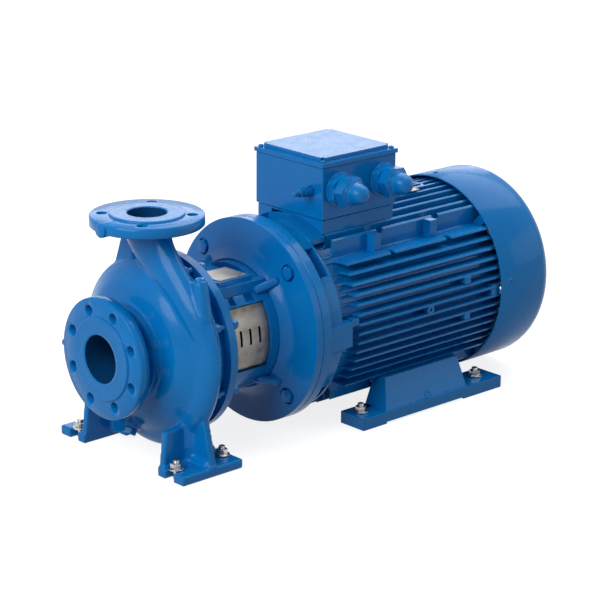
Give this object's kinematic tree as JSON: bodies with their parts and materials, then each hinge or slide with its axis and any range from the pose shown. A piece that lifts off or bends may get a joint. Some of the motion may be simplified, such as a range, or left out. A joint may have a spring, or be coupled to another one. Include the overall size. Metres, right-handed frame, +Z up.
{
  "type": "close-coupled end-suction centrifugal pump with flanged motor",
  "caption": "Close-coupled end-suction centrifugal pump: volute casing with flanged suction and discharge, lantern, finned electric motor on feet, terminal box on top.",
  "frame": {"origin": "on the floor, under the middle of the overall box", "axes": "+X along the shaft from the suction flange towards the motor, +Z up, +Y to the side away from the gland plugs"},
  "size_m": [0.886, 0.35, 0.4555],
  "materials": {
    "blue_paint": "gloss blue enamel on casting",
    "motor_paint": "gloss blue enamel",
    "zinc": "bright zinc plated",
    "stainless": "rolled stainless sheet",
    "cast_iron": "bare casting",
    "steel": "ground",
    "fan_plastic": "moulded",
    "nameplate": "bare satin plate"
  },
  "bodies": {
    "root": {"volute_casing": "blue_paint", "casing_cover": "blue_paint", "lantern": "blue_paint", "vent_plug": "blue_paint", "drain_plug": "blue_paint", "drive_endshield": "motor_paint", "motor_frame": "motor_paint", "motor_foot_near": "motor_paint", "motor_foot_far": "motor_paint", "rear_endshield": "motor_paint", "fan_cowl": "motor_paint", "terminal_box_base": "motor_paint", "terminal_box": "motor_paint", "terminal_box_lid": "motor_paint", "cable_gland_1": "motor_paint", "cable_gland_2": "motor_paint", "casing_bolt_1": "zinc", "casing_bolt_2": "zinc", "casing_bolt_3": "zinc", "casing_bolt_4": "zinc", "casing_bolt_5": "zinc", "casing_bolt_6": "zinc", "casing_bolt_7": "zinc", "casing_bolt_8": "zinc", "pump_foot_bolt_1": "zinc", "pump_foot_bolt_2": "zinc", "pump_foot_bolt_3": "zinc", "pump_foot_bolt_4": "zinc", "motor_foot_bolt_1": "zinc", "motor_foot_bolt_2": "zinc", "motor_foot_bolt_3": "zinc", "motor_foot_bolt_4": "zinc", "flange_bolt_1": "zinc", "flange_bolt_2": "zinc", "flange_bolt_3": "zinc", "flange_bolt_4": "zinc", "earth_bolt": "zinc", "guard_near": "stainless", "guard_far": "stainless", "impeller": "cast_iron", "pump_shaft": "steel", "fan_shaft": "steel", "shaft_seal": "steel", "fan": "fan_plastic", "pump_nameplate": "nameplate"}
  },
  "joints": []
}
